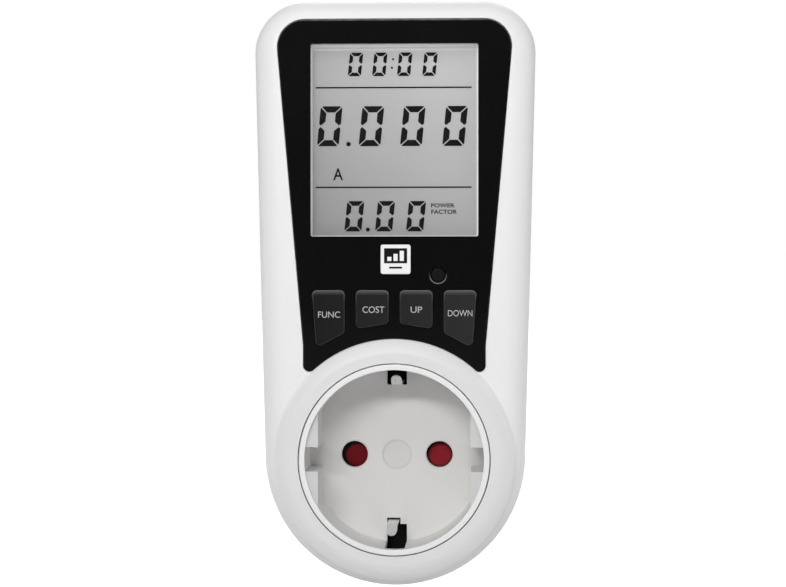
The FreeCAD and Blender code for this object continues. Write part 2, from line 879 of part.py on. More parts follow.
def link_block(start_y, end_y, fit):
    """A block round the link's pins, half a pitch longer at each end."""
    body = box(link_start - link_pitch / 2, link_places[-1][0] + link_pitch / 2, start_y, end_y,
               link_place - link_half_depth, link_place + link_half_depth)
    return body.cut(link_pin_boxes(fit))


def link_header():
    return link_block(power_board_y - link_header_height, power_board_y, 0.0)


def link_socket():
    return link_block(display_rear_y, display_rear_y + link_socket_height, link_pin_fit)


def link_pin_boxes(fit):
    half = link_pin_half + fit
    start = display_rear_y + link_pin_sink - fit
    return [box(x - half, x + half, start, power_board_y, z - half, z + half)
            for x, z in link_places]


def link_pins():
    return Part.makeCompound(link_pin_boxes(0.0))


# ================================================================ power board
def power_board():
    board = box(-power_board_half_width, power_board_half_width, power_board_y, power_rear_y,
                power_board_bottom, power_board_top)
    return board.cut([rod(board_hole_radius, power_board_y - 1, power_rear_y + 1, x, z)
                      for x, z in power_board_posts])


def power_board_screws():
    return Part.makeCompound([board_screw(power_board_y, x, z, 1) for x, z in power_board_posts])


def mains_capacitor():
    top_y = power_board_y - block_height
    body = box(*block_span, top_y, power_board_y, *block_rows)
    return body.makeFillet(block_edge, edges_at(body, top_y))


def electrolytic_capacitor():
    """A can in a shrink sleeve, with the pressed groove near its foot."""
    top_y = power_board_y - can_height
    low_y, high_y = (power_board_y - reach for reach in can_groove)
    can = rod(can_radius, top_y, power_board_y, *can_place)
    groove = rod(can_radius + 1, high_y, low_y, *can_place).cut(
        rod(can_radius - can_groove_depth, high_y, low_y, *can_place))
    can = can.cut(groove)
    return can.makeFillet(can_edge, edges_at(can, top_y))


def varistor():
    """A disc that stands on two leads."""
    x, z = varistor_place
    middle_y = power_board_y - varistor_stand - varistor_radius
    disc = Part.makeCylinder(varistor_radius, varistor_thickness,
                             Vector(x, middle_y, z - varistor_thickness / 2), Vector(0, 0, 1))
    disc = disc.makeFillet(varistor_edge, disc.Edges)
    leads = [rod(lead_radius, middle_y, power_board_y, x + s, z)
             for s in (-lead_place, lead_place)]
    return fused(disc, *leads)


def fuse_resistor():
    x0, x1 = fuse_span
    middle_y = power_board_y - fuse_radius - fuse_stand
    body = Part.makeCylinder(
        fuse_radius, x1 - x0, Vector(x0, middle_y, fuse_place), Vector(1, 0, 0))
    body = body.makeFillet(fuse_edge, body.Edges)
    lead = Part.makeCylinder(lead_radius, x1 - x0 + 2 * fuse_lead,
                             Vector(x0 - fuse_lead, middle_y, fuse_place), Vector(1, 0, 0))
    feet = [rod(lead_radius, middle_y, power_board_y, x, fuse_place)
            for x in (x0 - fuse_lead, x1 + fuse_lead)]
    return fused(body, lead, *feet)


def metering_chip():
    return chip(*metering_place, power_board_y, -1, *metering_size, metering_legs)


def shunt_resistor():
    """A bridge of resistance alloy that the load current flows through."""
    low, high = shunt_span
    top_y = power_board_y - shunt_rise
    path = [(power_board_y, low), (top_y, low), (top_y, high), (power_board_y, high)]
    bridge = bent_strip(path, -shunt_metal, -shunt_half_width, shunt_half_width)
    turned = bridge.copy()
    turned.rotate(Vector(0, 0, 0), Vector(0, 1, 0), 90)
    turned.translate(Vector(0, 0, shunt_place))
    return turned


# ================================================================ socket
def socket_insert():
    cup = rod(rim_radius, rim_y, floor_rear_y)
    cup = cup.makeFillet(0.3, edges_at(cup, rim_y))
    well = rod(well_radius, rim_y - 1, floor_y)
    sides = box(-guide_half_gap, guide_half_gap, rim_y - 1, floor_y, -rim_radius, rim_radius)
    notch = box(-well_radius, well_radius, rim_y - 1, floor_y,
                -guide_notch_half_height, guide_notch_half_height)
    mouth = rod(well_radius, rim_y - 1, rim_y + guide_recess)
    cup = cup.cut([well.common(sides.fuse(notch)), mouth])
    tabs = [rod(ear_radius, ear_y, ear_y + ear_thickness, x, z) for x, z in ears]
    webs = []
    for angle in ear_angles:
        web = box(rim_radius - 0.6, ear_circle, ear_y, ear_y + ear_thickness, -ear_radius, ear_radius)
        web.rotate(Vector(0, 0, 0), Vector(0, 1, 0), -angle)
        webs.append(web)
    posts = [rod(carrier_post_radius, floor_rear_y - weld, carrier_y, 0, z)
             for z in (-carrier_post_place, carrier_post_place)]
    posts.append(rod(shutter_post_radius, floor_rear_y - weld, carrier_y))
    insert = fused(cup, *tabs, *webs, *posts)
    holes = [rod(board_hole_radius, ear_y - 1, ear_y + ear_thickness + 1, x, z) for x, z in ears]
    holes += [rod(board_screw_thread, carrier_screw_tip_y, carrier_y + 1, 0, z)
              for z in (-carrier_post_place, carrier_post_place)]
    for x in (-pin_x, pin_x):
        holes.append(rod(pin_hole_radius, floor_y - 1, floor_rear_y + 1, x))
        holes.append(taper(pin_hole_radius + pin_hole_chamfer, pin_hole_radius,
                           floor_y, floor_y + pin_hole_chamfer, x))
    holes.append(rod(centre_mark_radius, floor_y - 1, floor_y + centre_mark_depth))
    holes += earth_slots()
    return insert.cut(holes)


def earth_slots():
    """Where the earth clips come through the floor and stand clear of the wall."""
    start_y = rim_y + earth_slot_rim
    end_y = floor_rear_y + 1
    top = top_nose_radius - nose_clearance
    bottom = bottom_nose_radius - nose_clearance
    notch_end = bottom_clip_place + clip_width / 2 + side_gap
    half = earth_slot_half_width
    return [
        box(-half, half, start_y, end_y, top, rim_radius + 1),
        box(-half, half, start_y, end_y, -rim_radius - 1, -top),
        box(-half, notch_end, floor_y - 1, end_y, -top - 0.1, -bottom),
    ]


def insert_screws():
    return Part.makeCompound([board_screw(ear_y + ear_thickness, x, z, -1) for x, z in ears])


carrier_screw_tip_y = carrier_y + carrier_ear_thickness - board_screw_length


def carrier_screws():
    return Part.makeCompound([
        board_screw(carrier_y + carrier_ear_thickness, 0, z, -1)
        for z in (-carrier_post_place, carrier_post_place)
    ])


# ================================================================ shutter
def shutter():
    """Two blades on a hub. Each covers one pin hole, and its sloping face lets both pins turn it."""
    bottom_y = shutter_y + shutter_thickness
    disc = rod(shutter_reach, shutter_y, bottom_y)
    bar = box(-shutter_reach, shutter_reach, shutter_y, bottom_y,
              -shutter_half_height, shutter_half_height)
    blades = disc.common(bar)
    for side in (-1, 1):
        low, high = -side * shutter_half_height, side * shutter_half_height
        corners = [(shutter_y, low), (shutter_y, high), (shutter_y + shutter_ramp, high)]
        wedge = Part.Face(Part.makePolygon([
            Vector(0, y, z) for y, z in corners + corners[:1]
        ])).extrude(Vector(side * (shutter_reach + 1), 0, 0))
        wedge.translate(Vector(side * (shutter_hub_radius + 0.5), 0, 0))
        blades = blades.cut(wedge)
    hub = rod(shutter_hub_radius, shutter_y, bottom_y)
    bore = rod(shutter_post_radius + shutter_post_fit, shutter_y - 1, bottom_y + 1)
    return fused(blades, hub).cut(bore)


def shutter_spring():
    """Two close coils round the post, and a leg that rests on the contact carrier."""
    middle = shutter_post_radius + 0.9
    base_y = shutter_y + shutter_thickness + side_gap + spring_wire
    coils = [
        Part.makeTorus(middle, spring_wire, Vector(0, base_y + i * 1.6 * spring_wire, 0),
                       Vector(0, 1, 0))
        for i in range(2)
    ]
    leg = Part.makeCylinder(spring_wire, 7.0, Vector(middle, base_y + 0.8 * spring_wire, 0),
                            Vector(0.3, 0, 1))
    return fused(*coils, leg)


# ================================================================ contacts and earth
def contact_carrier():
    """The insulating block that holds the live and neutral contacts behind the shutter."""
    block = box(-carrier_half_width, carrier_half_width, carrier_y, carrier_rear_y,
                -carrier_half_height, carrier_half_height)
    ear_end = carrier_y + carrier_ear_thickness
    for z in (-carrier_post_place, carrier_post_place):
        block = block.fuse(rod(carrier_post_radius, carrier_y, ear_end, 0, z))
        block = block.fuse(box(-carrier_post_radius, carrier_post_radius, carrier_y, ear_end,
                               min(0, z), max(0, z)))
    holes = []
    for x in (-pin_x, pin_x):
        holes.append(rod(pin_hole_radius, carrier_y - 1, contact_y + 1, x))
        holes.append(box(x - contact_pocket, x + contact_pocket, contact_y, carrier_rear_y + 1,
                         -contact_pocket, contact_pocket))
    for z in (-carrier_post_place, carrier_post_place):
        holes.append(rod(board_hole_radius, carrier_y - 1, ear_end + 1, 0, z))
        holes.append(rod(board_screw_head + 0.3, ear_end, carrier_rear_y + 1, 0, z))
    holes.append(spring_recess())
    return block.removeSplitter().cut(holes)


def spring_recess():
    """Room in the carrier's face for the shutter's spring and its post."""
    return rod(shutter_post_radius + 2.2, carrier_y - 1, carrier_y + 0.2).cut(
        rod(shutter_post_radius + 0.3, carrier_y - 1, carrier_y + 0.2))


def contact(side):
    """Two spring leaves with flared lips that grip a pin, on a base plate with a wire lug."""
    start = contact_y + side_gap
    base_y = carrier_rear_y - 0.4
    grip, metal = contact_grip, contact_metal
    flare = 0.6
    upper = [(base_y, grip), (start + 1.5, grip), (start, grip + flare)]
    lower = [(y, -z) for y, z in upper]
    x0, x1 = side * pin_x - contact_half_width, side * pin_x + contact_half_width
    leaves = [bent_strip(upper, -metal, x0, x1), bent_strip(lower, metal, x0, x1)]
    base = box(x0, x1, base_y, tail_y, -grip - metal, grip + metal)
    lug_outer = side * (carrier_half_width - 0.2)
    lug_inner = lug_outer - side * lug_width
    arm = box(min(lug_outer, x0), max(lug_outer, x1), carrier_rear_y, tail_y, -grip, grip)
    lug = box(min(lug_outer, lug_inner), max(lug_outer, lug_inner), carrier_rear_y, tail_y,
              -grip, lug_height)
    return fused(base, arm, lug, *leaves)


def earth_clip(nose, x, sign):
    """A sprung strip that stands out of the floor. It is nearest the axis at its nose."""
    nose_y = rim_y + clip_nose_reach
    tip_y = rim_y + clip_tip_reach
    path = [(clip_root_y, sign * nose), (nose_y, sign * nose),
            (tip_y, sign * (nose + clip_tip_slope))]
    x0, x1 = x - clip_width / 2, x + clip_width / 2
    strip = bent_strip(path, -sign * clip_metal, x0, x1)
    round_z = nose + clip_tip_slope - clip_tip_flare
    top = rod(clip_width / 2, tip_y - 1, clip_root_y + 1, x, sign * round_z)
    low, high = sorted((sign * (nose - 1), sign * round_z))
    return strip.common(top.fuse(box(x0, x1, tip_y - 1, clip_root_y + 1, low, high)))


def earth_frame():
    """One folded strip that joins both earth clips to the plug's earth contacts."""
    arm_y = clip_root_y + side_gap
    path = [
        (arm_y, top_nose_radius - side_gap),
        (arm_y, frame_arm),
        (frame_rear_y, frame_arm),
        (frame_rear_y, -frame_arm),
        (arm_y, -frame_arm),
        (arm_y, -bottom_nose_radius + side_gap),
    ]
    return bent_strip(path, -frame_metal, -frame_half_width, frame_half_width)


def plug_earth_contacts():
    inner = plug_earth_surface - plug_earth_metal
    strips = []
    for low, high in ((inner, plug_earth_surface), (-plug_earth_surface, -inner)):
        strip = box(-plug_earth_half_width, plug_earth_half_width, frame_rear_y,
                    plug_earth_length, low, high)
        strips.append(strip.makeFillet(0.3, edges_at(strip, plug_earth_length)))
    return Part.makeCompound(strips)


# ================================================================ plug
def plug_pin(x):
    """A round pin with a rounded tip, a neck through the end wall, a flange and a tail."""
    blade = rod(pin_radius, boss_length + pin_neck, pin_end_y, x)
    blade = blade.makeFillet(pin_tip_fillet, edges_at(blade, pin_end_y))
    neck = rod(pin_neck_radius, boss_floor_y, boss_length + pin_neck, x)
    flange = rod(pin_flange_radius, pin_flange_y, boss_floor_y, x)
    tail = rod(pin_neck_radius, pin_tail_y, pin_flange_y, x)
    return fused(blade, neck, flange, tail)


def pin_retainer():
    plate = slab(
        rounded_box_outline(-retainer_half_width, retainer_half_width,
                            -retainer_half_height, retainer_half_height, 1.0),
        retainer_y, pin_flange_y)
    holes = [rod(pin_neck_radius + pin_fit, retainer_y - 1, pin_flange_y + 1, x)
             for x in (-pin_x, pin_x)]
    holes += [rod(board_hole_radius, retainer_y - 1, pin_flange_y + 1, 0, z)
              for z in (-retainer_screw_place, retainer_screw_place)]
    return plate.cut(holes)


def retainer_screws():
    return Part.makeCompound([board_screw(retainer_y, 0, z, 1)
                              for z in (-retainer_screw_place, retainer_screw_place)])


def neutral_strap():
    """A bar from the neutral contact's base to the neutral pin's tail."""
    return box(pin_x - strap_half_width, pin_x + strap_half_width, tail_y, pin_tail_y,
               -strap_half_thickness, strap_half_thickness)


def live_in_wire():
    """From the live pin's tail, over the contact carrier, to the power board."""
    lane_y = power_board_y - wire_rise
    return wire_along([
        (-pin_x, pin_tail_y, 0),
        (-pin_x, pin_tail_y - wire_rise, 0),
        (-pin_x, pin_tail_y - wire_rise, wire_lane),
        (-pin_x, lane_y, wire_lane),
        (-pin_x, lane_y, wire_pad_height),
        (-pin_x, power_board_y, wire_pad_height),
    ], wire_radius, wire_bend)


def contact_wire(side):
    """From a contact's lug, over the contact carrier, to the power board."""
    x = side * (carrier_half_width - 0.2 - lug_width / 2)
    lane_y = power_board_y - wire_rise
    lane = lug_height - 1.5
    return wire_along([
        (x, carrier_rear_y, lane),
        (x, lane_y, lane),
        (x, lane_y, wire_pad_height),
        (x, power_board_y, wire_pad_height),
    ], wire_radius, wire_bend)


# ================================================================ every sub-part, by name
parts = {
    "front_cover": front_cover(),
    "rear_cover": rear_cover(),
    "plug_base": plug_base(),
    "housing_screws": housing_screws(),
    "fascia": fascia(),
    "display_window": display_window(),
    "badge": badge(),
    "lcd_front_glass": lcd_front_glass(),
    "lcd_rear_glass": lcd_rear_glass(),
    "lcd_reflector": lcd_reflector(),
    "lcd_frame": lcd_frame(),
    "zebra_strips": zebra_strips(),
    "reset_button": reset_button(),
    "key_switches": key_switches(),
    "reset_plunger": plunger(*reset_place),
    "display_board": display_board(),
    "display_board_screws": display_board_screws(),
    "controller_chip": controller_chip(),
    "crystal": crystal(),
    "backup_battery": backup_battery(),
    "link_header": link_header(),
    "link_socket": link_socket(),
    "link_pins": link_pins(),
    "power_board": power_board(),
    "power_board_screws": power_board_screws(),
    "mains_capacitor": mains_capacitor(),
    "electrolytic_capacitor": electrolytic_capacitor(),
    "varistor": varistor(),
    "fuse_resistor": fuse_resistor(),
    "metering_chip": metering_chip(),
    "shunt_resistor": shunt_resistor(),
    "socket_insert": socket_insert(),
    "insert_screws": insert_screws(),
    "shutter": shutter(),
    "shutter_spring": shutter_spring(),
    "contact_carrier": contact_carrier(),
    "carrier_screws": carrier_screws(),
    "live_contact": contact(-1),
    "neutral_contact": contact(1),
    "earth_clip_top": earth_clip(top_nose_radius, top_clip_place, 1),
    "earth_clip_bottom": earth_clip(bottom_nose_radius, bottom_clip_place, -1),
    "earth_frame": earth_frame(),
    "plug_earth_contacts": plug_earth_contacts(),
    "live_pin": plug_pin(-pin_x),
    "neutral_pin": plug_pin(pin_x),
    "pin_retainer": pin_retainer(),
    "retainer_screws": retainer_screws(),
    "neutral_strap": neutral_strap(),
    "live_in_wire": live_in_wire(),
    "live_out_wire": contact_wire(-1),
    "neutral_wire": contact_wire(1),
}
for name, middle in key_places.items():
    parts[name] = key(middle)
    parts[name.replace("key", "plunger")] = plunger(middle, switch_height_place)

os.makedirs("parts", exist_ok=True)
for name, shape in parts.items():
    shape.exportStep(f"parts/{name}.step")
    print(name, len(shape.Solids), shape.isValid(), round(shape.Volume, 1))
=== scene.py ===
# %% [markdown]
# # A plug-in energy meter
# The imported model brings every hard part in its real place: two white covers, a black front panel,
# a display, four keys, a reset button, a mains socket in front and the plug on the back.
# This script gives each part its finish and adds what is printed on them: the digits of the display,
# the words on the keys and the small sign under the display.
# Everything is in metres; +X is to the right, +Z is up and the front faces -Y.

# %% Load the frame
import json
import math

import bpy
import numpy as np
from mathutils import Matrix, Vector


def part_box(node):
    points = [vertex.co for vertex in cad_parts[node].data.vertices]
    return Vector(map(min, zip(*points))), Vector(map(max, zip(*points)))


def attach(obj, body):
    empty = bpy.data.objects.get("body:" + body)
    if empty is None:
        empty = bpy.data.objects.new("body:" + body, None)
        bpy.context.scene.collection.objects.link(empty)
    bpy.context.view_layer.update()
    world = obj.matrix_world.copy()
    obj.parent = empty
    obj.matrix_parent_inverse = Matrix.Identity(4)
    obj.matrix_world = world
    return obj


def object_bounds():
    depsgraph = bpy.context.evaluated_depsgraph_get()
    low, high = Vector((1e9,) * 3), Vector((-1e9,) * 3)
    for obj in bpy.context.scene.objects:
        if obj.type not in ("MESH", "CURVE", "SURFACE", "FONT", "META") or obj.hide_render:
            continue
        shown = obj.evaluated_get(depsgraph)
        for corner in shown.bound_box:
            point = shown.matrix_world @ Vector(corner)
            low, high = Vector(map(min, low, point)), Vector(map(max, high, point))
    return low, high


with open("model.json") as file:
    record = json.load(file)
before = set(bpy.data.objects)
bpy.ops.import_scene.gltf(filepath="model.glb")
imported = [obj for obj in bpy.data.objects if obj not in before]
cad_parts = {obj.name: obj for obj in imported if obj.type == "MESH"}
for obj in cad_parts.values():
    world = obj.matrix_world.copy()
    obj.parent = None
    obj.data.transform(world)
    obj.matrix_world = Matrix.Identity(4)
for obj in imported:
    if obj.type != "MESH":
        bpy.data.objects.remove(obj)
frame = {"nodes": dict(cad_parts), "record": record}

cad_low, cad_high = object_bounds()
nodes = frame["nodes"]
MM = 0.001
print("parts:", len(nodes), " size in mm:", [round(side / MM, 1) for side in cad_high - cad_low])

# %% [markdown]
# ## The camera
# The meter is seen straight from the front with a long lens, a little from the right and from just
# below the display. A long lens half a metre away keeps the sides nearly parallel, so the width of
# the housing hides its depth.

# %% Camera
CAMERA_PLACE = Vector((19.3, -519.0, 36.0)) * MM
CAMERA_AIM = Vector((-0.2, -41.0, 36.0)) * MM
SENSOR_WIDTH = 36.0
FOCAL_LENGTH = 101.4


def facing(place, aim):
    """The turn that points an object's own -Z from place to aim, with its Y upwards."""
    return (Vector(aim) - Vector(place)).to_track_quat("-Z", "Y").to_euler()


camera = bpy.data.objects.new("camera", bpy.data.cameras.new("camera"))
bpy.context.scene.collection.objects.link(camera)
bpy.context.scene.camera = camera
camera.data.sensor_width = SENSOR_WIDTH
camera.data.lens = FOCAL_LENGTH
camera.location = CAMERA_PLACE
camera.rotation_euler = facing(CAMERA_PLACE, CAMERA_AIM)
print("camera to front in mm:", round((CAMERA_AIM - CAMERA_PLACE).length / MM, 1))

# %% [markdown]
# ## Shader sums that read like sums
# A material is a net of nodes. Adding nodes one by one hides the sum that they stand for, so a small
# class holds one output and lets Python's own operators add the Math nodes. A second class holds the
# material, and all its other nodes come from a single method.


# %% Value and Finish
class Value:
    """One output of a node. Sums and products of values add Math nodes."""

    def __init__(self, finish, socket):
        self.finish = finish
        self.socket = socket

    def math(self, operation, *terms):
        return self.finish.node(
            "ShaderNodeMath", {"operation": operation}, dict(enumerate(terms)))

    def __add__(self, other):
        return self.math("ADD", self, other)

    def __radd__(self, other):
        return self.math("ADD", other, self)

    def __sub__(self, other):
        return self.math("SUBTRACT", self, other)

    def __rsub__(self, other):
        return self.math("SUBTRACT", other, self)

    def __mul__(self, other):
        return self.math("MULTIPLY", self, other)

    def __rmul__(self, other):
        return self.math("MULTIPLY", other, self)

    def __pow__(self, other):
        return self.math("POWER", self, other)

    def __abs__(self):
        return self.math("ABSOLUTE", self)

    def at_most(self, other):
        return self.math("MINIMUM", self, other)

    def at_least(self, other):
        return self.math("MAXIMUM", self, other)


SHADER_SOCKETS = {"specular": "Specular IOR Level"}


class Finish:
    """A material with one Principled shader. Patterns on it read the object's own coordinates."""

    def __init__(self, name):
        self.material = bpy.data.materials.new(name)
        self.material.use_nodes = True
        self.nodes = self.material.node_tree.nodes
        self.links = self.material.node_tree.links
        self.shader = self.nodes["Principled BSDF"]
        self.place = self.node("ShaderNodeTexCoord", output="Object")

    def set(self, socket, value):
        if isinstance(value, Value):
            self.links.new(value.socket, socket)
        else:
            socket.default_value = value

    def node(self, kind, settings={}, inputs={}, output=0):
        """Adds a node: its settings first, then the values or links of its sockets."""
        made = self.nodes.new(kind)
        for name, setting in settings.items():
            setattr(made, name, setting)
        for name, value in inputs.items():
            self.set(made.inputs[name], value)
        return Value(self, made.outputs[output])

    def surface(self, **inputs):
        """Sets the shader's sockets: base_color stands for Base Color, and so on."""
        for name, value in inputs.items():
            label = SHADER_SOCKETS.get(name, name.replace("_", " ").title())
            self.set(self.shader.inputs[label], value)
        return self.material


# %% [markdown]
# ## Patterns in common
# A few small helpers are enough for every finish here: a cloud of noise, a mix of two colours, a
# ramp between two measures, a bump from a height, and where a point lies on the piece.


# %% Pattern helpers
def grey(level):
    """A linear colour from an even grey level as seen on a screen, 0 to 255."""
    share = level / 255
    linear = share / 12.92 if share <= 0.04045 else ((share + 0.055) / 1.055) ** 2.4
    return (linear, linear, linear, 1.0)


def colour(red, green, blue):
    """A linear colour from three screen levels, 0 to 255."""
    return tuple(grey(level)[0] for level in (red, green, blue)) + (1.0,)


def noise(finish, size, detail=2.0, stretch=None):
    """A cloud between 0 and 1 whose blobs are about size metres, drawn out by stretch."""
    place = finish.place
    if stretch:
        place = finish.node("ShaderNodeMapping", {}, {"Vector": place, "Scale": stretch})
    return finish.node("ShaderNodeTexNoise", {}, {
        "Vector": place, "Scale": 1 / size, "Detail": detail}, "Fac")


def mixed(finish, share, first, second):
    """The first colour where share is 0, the second where it is 1."""
    return finish.node("ShaderNodeMix", {"data_type": "RGBA"}, {0: share, 6: first, 7: second}, 2)


def ramp(finish, value, low, high):
    """0 where value is low, 1 where it is high, and a straight line between."""
    return finish.node("ShaderNodeMapRange", {}, {
        "Value": value, "From Min": low, "From Max": high})


def bump(finish, height, depth):
    """A normal tilted by a height between 0 and 1 that stands for depth metres."""
    return finish.node("ShaderNodeBump", {}, {
        "Height": height, "Distance": depth, "Strength": 1.0})


def along(finish, axis):
    """How far a point is along X, Y or Z, in metres."""
    return finish.node("ShaderNodeSeparateXYZ", {}, {"Vector": finish.place}, axis)


def reach(across, up):
    """The distance whose two legs are across and up: the root of the sum of their squares."""
    return (across * across + up * up) ** 0.5


def shade(tint, factor):
    """A colour with each channel multiplied by factor."""
    return tuple(channel * factor for channel in tint[:3]) + (1.0,)


print("a middle grey of 128 is", round(grey(128)[0], 3), "in linear light")


# %% [markdown]
# ## Moulded plastic
# Injection-moulded plastic is one colour all through, but it never looks like flat paint: the
# mould's spark-eroded skin gives it a grain of a few tenths of a millimetre, the sheen changes a
# little from place to place, and handling leaves the faintest clouds. One function makes all the
# plastics, and each finish names its own colour, sheen and grain.


# %% Plastics
MOULD_GRAIN = 0.35 * MM
GRAIN_DEPTH = 0.006 * MM
CLOUD = 22 * MM
SHEEN = 5 * MM


def moulded(name, tint, roughness, grain=MOULD_GRAIN, grain_depth=GRAIN_DEPTH, cloud=0.06):
    """Base colour dimmed by a slow cloud; roughness moved by a finer one; a grain as bump."""
    finish = Finish(name)
    slow = noise(finish, CLOUD, 3.0)
    sheen = noise(finish, SHEEN, 4.0)
    skin = noise(finish, grain)
    return finish.surface(
        base_color=mixed(finish, slow, tint, shade(tint, 1 - cloud)),
        roughness=roughness + (sheen - 0.5) * (roughness * 0.3),
        normal=bump(finish, skin, grain_depth))


finishes = {
    "badge_white": moulded("badge_white", grey(246), 0.35, grain_depth=0.002 * MM, cloud=0.02),
    "frame_white": moulded("frame_white", grey(232), 0.5),
    "switch_black": moulded("switch_black", grey(30), 0.45),
    "plunger_tan": moulded("plunger_tan", colour(196, 168, 120), 0.5),
    "chip_black": moulded("chip_black", grey(32), 0.6, grain=0.12 * MM, grain_depth=0.01 * MM),
    "battery_sleeve": moulded("battery_sleeve", colour(60, 120, 70), 0.3),
    "link_black": moulded("link_black", grey(25), 0.5),
    "capacitor_yellow": moulded("capacitor_yellow", colour(226, 190, 60), 0.4),
    "capacitor_sleeve": moulded("capacitor_sleeve", colour(34, 40, 60), 0.3),
    "varistor_blue": moulded("varistor_blue", colour(40, 90, 170), 0.25),
    "resistor_grey": moulded("resistor_grey", colour(120, 130, 140), 0.55),
    "carrier_black": moulded("carrier_black", grey(28), 0.55),
    "wire_brown": moulded("wire_brown", colour(110, 62, 34), 0.35),
    "wire_blue": moulded("wire_blue", colour(40, 90, 190), 0.35),
    "rubber_black": moulded("rubber_black", grey(36), 0.8),
}
print("plastics:", len(finishes))

# %% [markdown]
# ## The housing's white
# The housing is a bright satin white with a spark-eroded grain. The front of the collar round the
# socket is painted a trifle greyer than the shell: painted shade.

# %% Housing
COLLAR_FOOT = -39.4 * MM
COLLAR_FRONT = -40.8 * MM

shell = Finish("shell_white")
# Painted shade: the collar's front is painted greyer.
collar_shade = ramp(shell, along(shell, "Y"), COLLAR_FOOT, COLLAR_FRONT)
shell_cloud = mixed(shell, noise(shell, CLOUD, 3.0), grey(240), grey(236))
finishes["shell_white"] = shell.surface(
    base_color=mixed(shell, collar_shade, shell_cloud, grey(226)),
    roughness=0.42 + (noise(shell, SHEEN, 4.0) - 0.5) * 0.12,
    normal=bump(shell, noise(shell, MOULD_GRAIN), GRAIN_DEPTH))
print("collar's greyer front, in mm deep:", round((COLLAR_FOOT - COLLAR_FRONT) / MM, 1))

# %% [markdown]
# ## Keys and button
# The keys are charcoal, moulded with a rounded crown. The crown's edge is painted lighter, a painted
# highlight strongest along its top, where a painted band of highlight runs across every key; that
# edge
# is also a little less rough. The keys on the right are painted a trifle paler than those on the
# left:
# painted light. The small button is as black as the panel.

# %% Keys and button
KEY_ROW_HALF = 18 * MM
EDGE_START, EDGE_END = 0.02 * MM, 0.4 * MM
EDGE_RISE = (34 * MM, 36.2 * MM)
TOP_HIGHLIGHT = (35.6 * MM, 36.3 * MM)

key = Finish("key_grey")
key_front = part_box("func_key")[0].y
# Painted highlight on the crown's edge, which is also made a little less rough.
crown_highlight = ramp(key, along(key, "Y"), key_front + EDGE_START, key_front + EDGE_END)
# Painted light: the keys are painted paler towards the right.
rising = ramp(key, along(key, "X"), -KEY_ROW_HALF, KEY_ROW_HALF)
key_cloud = mixed(key, noise(key, 4 * MM, 4.0), grey(12), grey(17))
key_body = mixed(key, rising, key_cloud, grey(40))
# Painted highlight: a paler band along the top of every key.
top_highlight = ramp(key, along(key, "Z"), *TOP_HIGHLIGHT) * 0.6
key_body = mixed(key, top_highlight, key_body, grey(84))
# Painted highlight, stronger towards the top of the key.
highlight_rise = ramp(key, along(key, "Z"), *EDGE_RISE)
finishes["key_grey"] = key.surface(
    base_color=mixed(key, crown_highlight * (0.35 + highlight_rise * 0.65), key_body, grey(150)),
    roughness=0.5 - crown_highlight * 0.15 + (noise(key, 2 * MM, 4.0) - 0.5) * 0.1,
    specular=0.12,
    normal=bump(key, noise(key, 0.22 * MM), 0.008 * MM))

button = Finish("button_black")
finishes["button_black"] = button.surface(
    base_color=mixed(button, noise(button, 2 * MM), grey(9), grey(14)),
    roughness=0.3 + noise(button, 1 * MM, 4.0) * 0.1,
    specular=0.1)
print("keys' front at y in mm:", round(key_front / MM, 2))

# %% [markdown]
# ## The socket's two whites
# The socket is moulded in a slightly greyer white than the housing. Its front rim is painted
# brighter, a painted highlight, and is also a little less rough; the edges of the two pin holes carry
# the same painted highlight. The well's wall is painted greyer towards its mouth: painted shade. In
# the middle of the floor an ejector left a round mark: a disc a trifle greyer, with a thin darker
# line round it.

# %% Socket
RIM_BACK, RIM_FRONT = -40.5 * MM, -40.9 * MM
WELL_MOUTH, WELL_DEEP = -38 * MM, -27 * MM
MARK_RADIUS = 3.2 * MM
MARK_SOFT = 0.1 * MM
MARK_LINE = (0.05 * MM, 0.3 * MM)
PIN_PLACE = 9.5 * MM
HOLE_HIGHLIGHT = (3.35 * MM, 3.05 * MM)

socket = Finish("socket_white")
# Painted highlights: the front rim and the edges of the pin holes are painted brighter.
rim_highlight = ramp(socket, along(socket, "Y"), RIM_BACK, RIM_FRONT)
floor_x = along(socket, "X")
floor_z = along(socket, "Z")
from_axis = reach(floor_x, floor_z)
mark_line = 1 - ramp(socket, abs(from_axis - MARK_RADIUS), *MARK_LINE)
mark_disc = ramp(socket, from_axis, MARK_RADIUS + MARK_SOFT, MARK_RADIUS - MARK_SOFT)
hole_highlight = ramp(socket, reach(abs(floor_x) - PIN_PLACE, floor_z), *HOLE_HIGHLIGHT)
rim_and_hole_highlights = (rim_highlight + hole_highlight).at_most(1.0)
# Painted shade: the socket is painted greyer towards the well's mouth.
deep = ramp(socket, along(socket, "Y"), WELL_MOUTH, WELL_DEEP)
socket_cloud = mixed(
    socket, noise(socket, 9 * MM, 4.0), colour(232, 231, 229), colour(226, 225, 223))
socket_cloud = mixed(socket, deep, grey(210), socket_cloud)
marked = mixed(socket, mark_line * 0.25 + mark_disc * 0.12, socket_cloud, grey(178))
finishes["socket_white"] = socket.surface(
    base_color=mixed(socket, rim_and_hole_highlights, marked, grey(238)),
    roughness=0.5 - rim_highlight * 0.15 + (noise(socket, 4 * MM, 4.0) - 0.5) * 0.15,
    normal=bump(socket, noise(socket, 0.5 * MM), GRAIN_DEPTH))
print("well's wall changes over mm:", round((WELL_DEEP - WELL_MOUTH) / MM, 1))

# %% [markdown]
# ## The red shutter
# Behind each pin hole lies the shutter, a deep red. The shade of the hole's wall is painted on it:
# what is left in the light is a painted disc set off to the lower right, and a painted dark crescent
# stays at the upper left of each hole, wider in the left one, where the red is also painted deeper:
# painted shade.

# %% Shutter
RIGHT_SIDE, LEFT_SIDE = 4 * MM, -4 * MM
LIT_RIGHT, LIT_LEFT = 9.6 * MM, -9.0 * MM
LIT_DROP, LEFT_DROP = 0.15 * MM, 0.25 * MM
LIT_EDGE = (2.25 * MM, 2.75 * MM)

